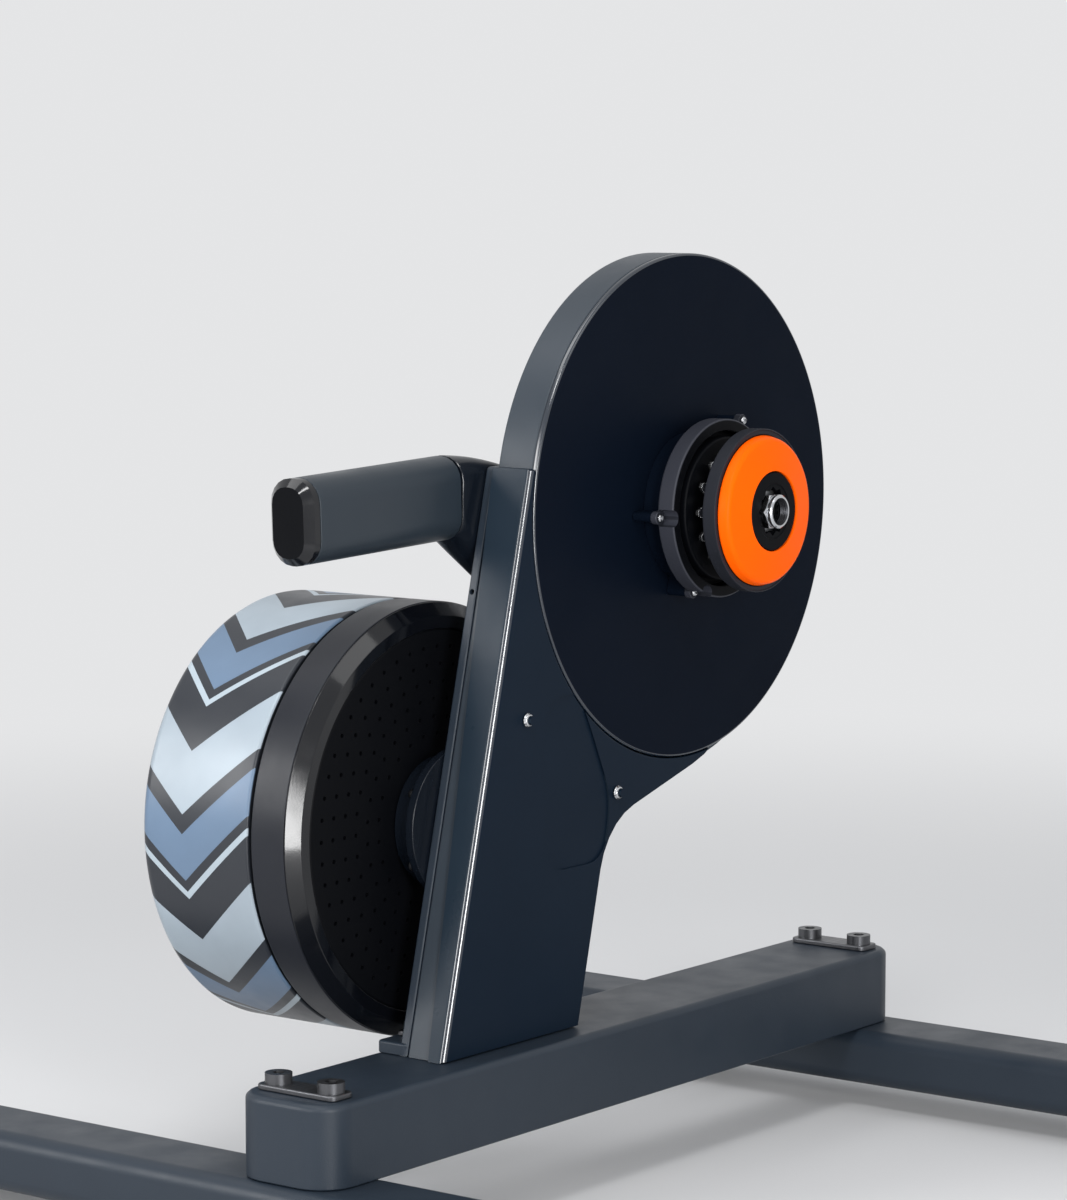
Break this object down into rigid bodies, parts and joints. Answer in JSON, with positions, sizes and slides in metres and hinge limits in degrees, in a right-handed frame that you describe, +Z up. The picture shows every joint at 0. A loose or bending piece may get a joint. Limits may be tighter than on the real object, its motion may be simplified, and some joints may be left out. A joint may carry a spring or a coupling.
{
  "type": "direct drive bike trainer",
  "caption": "Indoor cycling trainer that takes the rear wheel's place: a sprocket turns a belt drive, a braked flywheel and a carry handle sit on a two-legged stand.",
  "frame": {"origin": "on the floor, under the middle of the two legs", "axes": "+X the way the bike faces, +Y to the bike's left, away from the chain, +Z up"},
  "size_m": [0.5, 0.584, 0.469],
  "materials": {
    "frame_paint": "satin black-blue powder coat",
    "case_plastic": "satin moulded shell, blue-black",
    "disc_plastic": "satin moulded shell, near black",
    "gloss_plastic": "high gloss",
    "black_plastic": "fine texture",
    "orange_plastic": "semi-gloss",
    "grip_grey": "satin grey",
    "flywheel_paint": "satin with pale stripes",
    "bright_steel": "bright plated",
    "dark_steel": "black oxide",
    "aluminium": "machined",
    "rubber": "matt",
    "copper": "enamelled winding",
    "board_green": "solder mask"
  },
  "bodies": {
    "frame": {"base_beam": "frame_paint", "front_leg": "frame_paint", "rear_leg": "frame_paint", "frame_plate": "frame_paint", "handle_bracket": "frame_paint", "belt_housing": "case_plastic", "side_cover": "case_plastic", "disc_cover": "disc_plastic", "brake_cover": "gloss_plastic", "handle_end_cap": "gloss_plastic", "front_leg_cap_left": "black_plastic", "front_leg_cap_right": "black_plastic", "rear_leg_cap_left": "black_plastic", "rear_leg_cap_right": "black_plastic", "guard_ring": "black_plastic", "power_socket": "black_plastic", "handle_grip": "grip_grey", "axle": "bright_steel", "end_cap_left": "bright_steel", "end_cap_right": "bright_steel", "pivot_pin": "bright_steel", "tension_spring": "bright_steel", "pulley_bearing_front": "bright_steel", "pulley_bearing_rear": "bright_steel", "shaft_bearing_front": "bright_steel", "shaft_bearing_rear": "bright_steel", "side_screw_upper": "bright_steel", "side_screw_lower": "bright_steel", "guard_screw_1": "bright_steel", "guard_screw_2": "bright_steel", "guard_screw_3": "bright_steel", "front_leg_bolts": "dark_steel", "rear_leg_bolts": "dark_steel", "frame_foot_bolts": "dark_steel", "bracket_bolt_upper": "dark_steel", "bracket_bolt_lower": "dark_steel", "brake_core": "dark_steel", "bearing_carrier": "aluminium", "axle_support": "aluminium", "front_foot_left": "rubber", "front_foot_right": "rubber", "drive_belt": "rubber", "brake_coil": "copper", "circuit_board": "board_green"},
    "flywheel": {"flywheel": "flywheel_paint", "flywheel_shaft": "bright_steel", "small_pulley": "dark_steel"},
    "drive_pulley": {"drive_pulley": "aluminium"},
    "freehub": {"freehub_body": "aluminium", "sprocket": "bright_steel", "inner_chain_guard": "black_plastic", "outer_chain_guard": "black_plastic", "hub_cap": "orange_plastic", "lock_ring": "black_plastic"},
    "tension_arm": {"tension_arm": "aluminium"},
    "idler": {"idler_pulley": "black_plastic"},
    "level_stud_left": {"level_stud_left": "bright_steel"},
    "level_foot_left": {"level_foot_left": "rubber"},
    "level_stud_right": {"level_stud_right": "bright_steel"},
    "level_foot_right": {"level_foot_right": "rubber"}
  },
  "joints": [
    {"name": "flywheel_spin", "type": "hinge", "parent": "frame", "child": "flywheel", "pos_m": [-0.0885, 0, 0.192], "axis": [0, 1, 0], "continuous": true},
    {"name": "drive_pulley_spin", "type": "hinge", "parent": "frame", "child": "drive_pulley", "pos_m": [0.06, 0, 0.34], "axis": [0, 1, 0], "continuous": true},
    {"name": "freehub_spin", "type": "hinge", "parent": "drive_pulley", "child": "freehub", "pos_m": [0.06, 0, 0.34], "axis": [0, 1, 0], "continuous": true},
    {"name": "tension_arm_swing", "type": "hinge", "parent": "frame", "child": "tension_arm", "pos_m": [-0.04686, 0, 0.2426], "axis": [0, -1, 0], "range_deg": [0, 12], "stiffness_Nm_per_rad": 3, "springref_deg": -17.19},
    {"name": "idler_spin", "type": "hinge", "parent": "tension_arm", "child": "idler", "pos_m": [-0.01658, 0, 0.21468], "axis": [0, 1, 0], "continuous": true},
    {"name": "level_stud_left_slide", "type": "slide", "parent": "frame", "child": "level_stud_left", "axis": [0, 0, -1], "range_m": [0, 0.008]},
    {"name": "level_foot_left_turn", "type": "hinge", "parent": "level_stud_left", "child": "level_foot_left", "pos_m": [-0.225, 0.258, 0.005], "axis": [0, 0, -1], "range_deg": [0, 1920]},
    {"name": "level_stud_right_slide", "type": "slide", "parent": "frame", "child": "level_stud_right", "axis": [0, 0, -1], "range_m": [0, 0.008]},
    {"name": "level_foot_right_turn", "type": "hinge", "parent": "level_stud_right", "child": "level_foot_right", "pos_m": [-0.225, -0.258, 0.005], "axis": [0, 0, -1], "range_deg": [0, 1920]}
  ],
  "couplings": [
    {"joint": "drive_pulley_spin", "follows": "flywheel_spin", "ratio": 0.12963},
    {"joint": "idler_spin", "follows": "flywheel_spin", "ratio": 1.0769},
    {"joint": "level_foot_left_turn", "follows": "level_stud_left_slide", "rad_per_m": 4188.8},
    {"joint": "level_foot_right_turn", "follows": "level_stud_right_slide", "rad_per_m": 4188.8}
  ]
}
